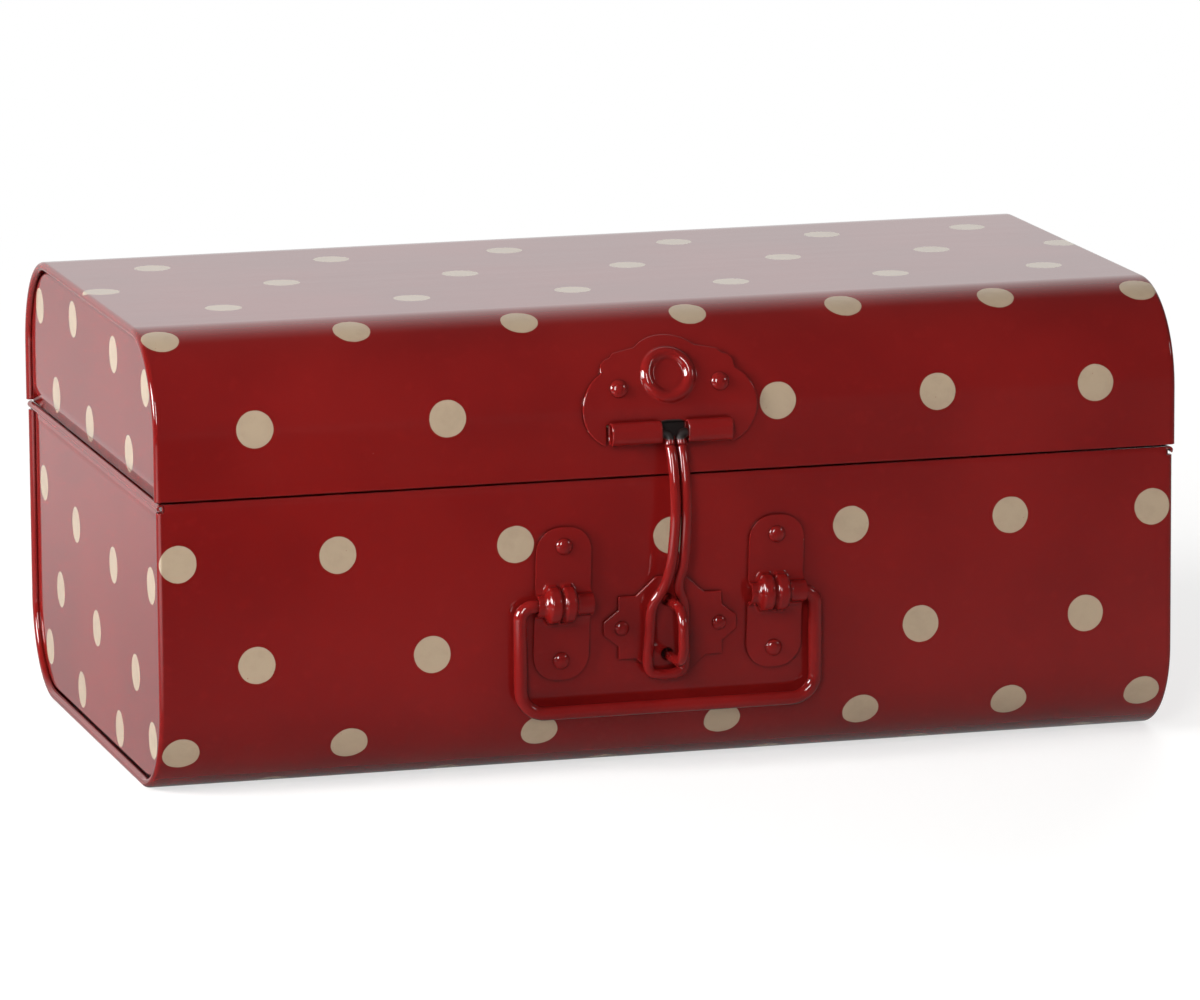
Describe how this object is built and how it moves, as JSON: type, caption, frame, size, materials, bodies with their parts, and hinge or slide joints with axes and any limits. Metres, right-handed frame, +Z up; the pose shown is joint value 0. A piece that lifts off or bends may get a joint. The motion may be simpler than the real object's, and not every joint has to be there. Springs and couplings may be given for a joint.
{
  "type": "storage suitcase",
  "caption": "Small painted sheet-steel suitcase with a hinged lid, a wire hasp over a staple and a wire bail handle on the front.",
  "frame": {"origin": "centre of the flat underside of the case", "axes": "+X along the length, to the right as seen from the front; +Y to the back, where the hinges are; +Z up"},
  "size_m": [0.2912, 0.1933, 0.1275],
  "materials": {
    "case_enamel": "gloss",
    "lid_enamel": "gloss",
    "fitting_enamel": "gloss",
    "wire_enamel": "gloss"
  },
  "bodies": {
    "case": {"case_wrap": "case_enamel", "case_left_end": "case_enamel", "case_right_end": "case_enamel", "staple_plate": "fitting_enamel", "staple_plate_rivet_left": "fitting_enamel", "staple_plate_rivet_right": "fitting_enamel", "staple": "wire_enamel", "left_bracket": "fitting_enamel", "right_bracket": "fitting_enamel", "left_bracket_rivet_upper": "fitting_enamel", "left_bracket_rivet_lower": "fitting_enamel", "right_bracket_rivet_upper": "fitting_enamel", "right_bracket_rivet_lower": "fitting_enamel", "left_hinge_case_leaf": "fitting_enamel", "left_hinge_pin": "fitting_enamel", "left_hinge_case_rivet_left": "fitting_enamel", "left_hinge_case_rivet_right": "fitting_enamel", "right_hinge_case_leaf": "fitting_enamel", "right_hinge_pin": "fitting_enamel", "right_hinge_case_rivet_left": "fitting_enamel", "right_hinge_case_rivet_right": "fitting_enamel"},
    "lid": {"lid_wrap": "lid_enamel", "lid_left_end": "lid_enamel", "lid_right_end": "lid_enamel", "hasp_plate": "fitting_enamel", "hasp_plate_rivet_left": "fitting_enamel", "hasp_plate_rivet_right": "fitting_enamel", "left_hinge_lid_leaf": "fitting_enamel", "left_hinge_lid_rivet_left": "fitting_enamel", "left_hinge_lid_rivet_right": "fitting_enamel", "right_hinge_lid_leaf": "fitting_enamel", "right_hinge_lid_rivet_left": "fitting_enamel", "right_hinge_lid_rivet_right": "fitting_enamel"},
    "hasp": {"hasp_loop": "wire_enamel"},
    "handle": {"handle_bail": "wire_enamel"}
  },
  "joints": [
    {"name": "lid_hinge", "type": "hinge", "parent": "case", "child": "lid", "pos_m": [0, 0.0875, 0.0835], "axis": [-1, 0, 0], "range_deg": [0, 170]},
    {"name": "hasp_swing", "type": "hinge", "parent": "lid", "child": "hasp", "pos_m": [-0.00075, -0.0885, 0.0954], "axis": [-1, 0, 0], "range_deg": [0, 152]},
    {"name": "handle_swing", "type": "hinge", "parent": "case", "child": "handle", "pos_m": [-0.0016, -0.088, 0.0494], "axis": [-1, 0, 0], "range_deg": [0, 150]}
  ]
}
